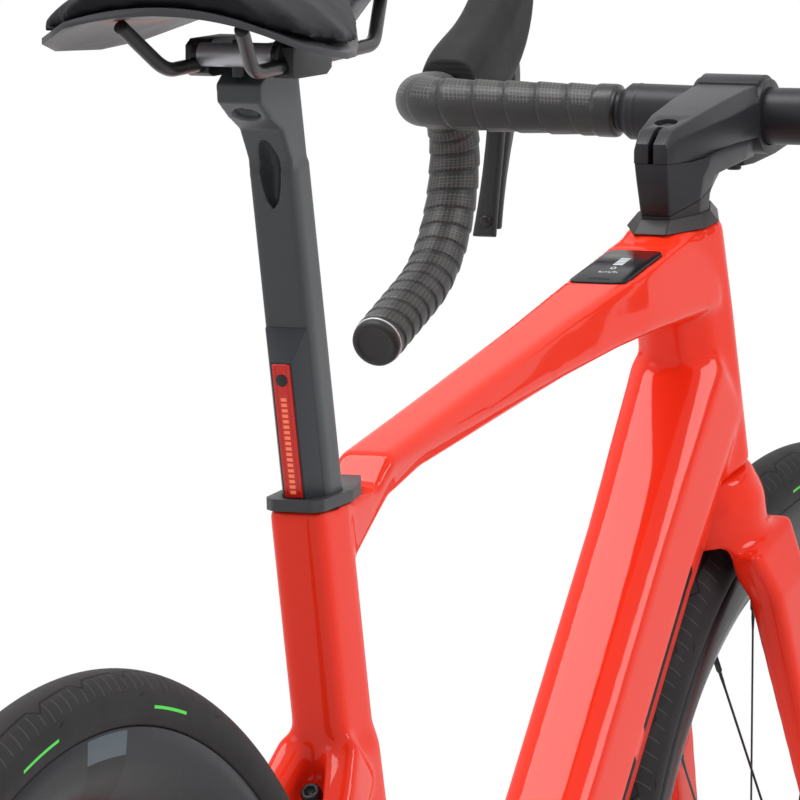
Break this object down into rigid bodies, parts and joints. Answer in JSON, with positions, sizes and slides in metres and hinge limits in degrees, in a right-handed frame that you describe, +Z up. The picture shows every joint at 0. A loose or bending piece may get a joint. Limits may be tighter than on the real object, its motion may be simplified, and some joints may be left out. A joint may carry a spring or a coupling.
{
  "type": "electric road bike",
  "caption": "Electric road bike with a faceted carbon frame, drop bar, disc brakes, motor in the bottom bracket shell and battery in the down tube.",
  "frame": {"origin": "the rider's place on top of the saddle, on the bike's middle plane", "axes": "+X forward, +Y to the rider's left, +Z up"},
  "size_m": [1.69, 0.442, 1.003],
  "materials": {
    "frame_paint": "gloss",
    "motor_casing": "satin",
    "battery_case": "matt",
    "display_glass": "gloss",
    "black_satin": "satin",
    "rubber_black": "matt",
    "seatpost_grey": "satin",
    "black_plastic": "matt",
    "red_lens": "gloss",
    "black_alloy": "satin anodised",
    "saddle_cover": "satin",
    "chain_steel": "satin",
    "bar_tape": "matt",
    "sprocket_steel": "satin",
    "pedal_body": "matt",
    "tyre_rubber": "matt",
    "rim_carbon": "satin",
    "rotor_steel": "brushed"
  },
  "bodies": {
    "frame": {"head_tube": "frame_paint", "top_tube": "frame_paint", "down_tube": "frame_paint", "seat_tube": "frame_paint", "motor_shell": "frame_paint", "chainstays": "frame_paint", "seatstays": "frame_paint", "drive_motor": "motor_casing", "battery": "battery_case", "display": "display_glass", "headset_cover": "black_satin", "seat_collar": "rubber_black", "seatpost": "seatpost_grey", "tail_light_housing": "black_plastic", "tail_light_lens": "red_lens", "saddle_clamp": "black_alloy", "saddle_rails": "black_satin", "saddle_shell": "black_plastic", "saddle_pad": "saddle_cover", "rear_axle": "black_alloy", "rear_derailleur": "black_alloy", "jockey_wheels": "black_plastic", "chain": "chain_steel", "rear_brake_caliper": "black_alloy"},
    "steering": {"fork": "frame_paint", "stem_spacer": "black_satin", "stem": "black_satin", "handlebar": "black_satin", "bar_tape": "bar_tape", "bar_plugs": "black_plastic", "brake_hoods": "rubber_black", "brake_levers": "black_satin", "shift_paddles": "black_plastic", "computer_mount": "black_plastic", "front_axle": "black_alloy", "front_brake_caliper": "black_alloy"},
    "front_wheel": {"front_tyre": "tyre_rubber", "front_rim": "rim_carbon", "front_hub": "black_alloy", "front_spokes": "black_satin", "front_rotor": "rotor_steel"},
    "rear_wheel": {"rear_tyre": "tyre_rubber", "rear_rim": "rim_carbon", "rear_hub": "black_alloy", "rear_spokes": "black_satin", "rear_rotor": "rotor_steel", "cassette": "sprocket_steel"},
    "crankset": {"crank_arms": "black_satin", "chainring": "black_alloy"},
    "left_pedal": {"left_pedal": "pedal_body"},
    "right_pedal": {"right_pedal": "pedal_body"}
  },
  "joints": [
    {"name": "steering_turn", "type": "hinge", "parent": "frame", "child": "steering", "pos_m": [0.63782, 0, -0.31181], "axis": [-0.309, 0, 0.9511], "range_deg": [-60, 60]},
    {"name": "front_wheel_spin", "type": "hinge", "parent": "steering", "child": "front_wheel", "pos_m": [0.799, 0, -0.659], "axis": [0, 1, 0], "continuous": true},
    {"name": "rear_wheel_spin", "type": "hinge", "parent": "frame", "child": "rear_wheel", "pos_m": [-0.205, 0, -0.659], "axis": [0, 1, 0], "continuous": true},
    {"name": "crank_spin", "type": "hinge", "parent": "frame", "child": "crankset", "pos_m": [0.20622, 0, -0.734], "axis": [0, 1, 0], "continuous": true},
    {"name": "left_pedal_spin", "type": "hinge", "parent": "crankset", "child": "left_pedal", "pos_m": [0.03372, 0, -0.734], "axis": [0, 1, 0], "continuous": true},
    {"name": "right_pedal_spin", "type": "hinge", "parent": "crankset", "child": "right_pedal", "pos_m": [0.37872, 0, -0.734], "axis": [0, 1, 0], "continuous": true}
  ]
}
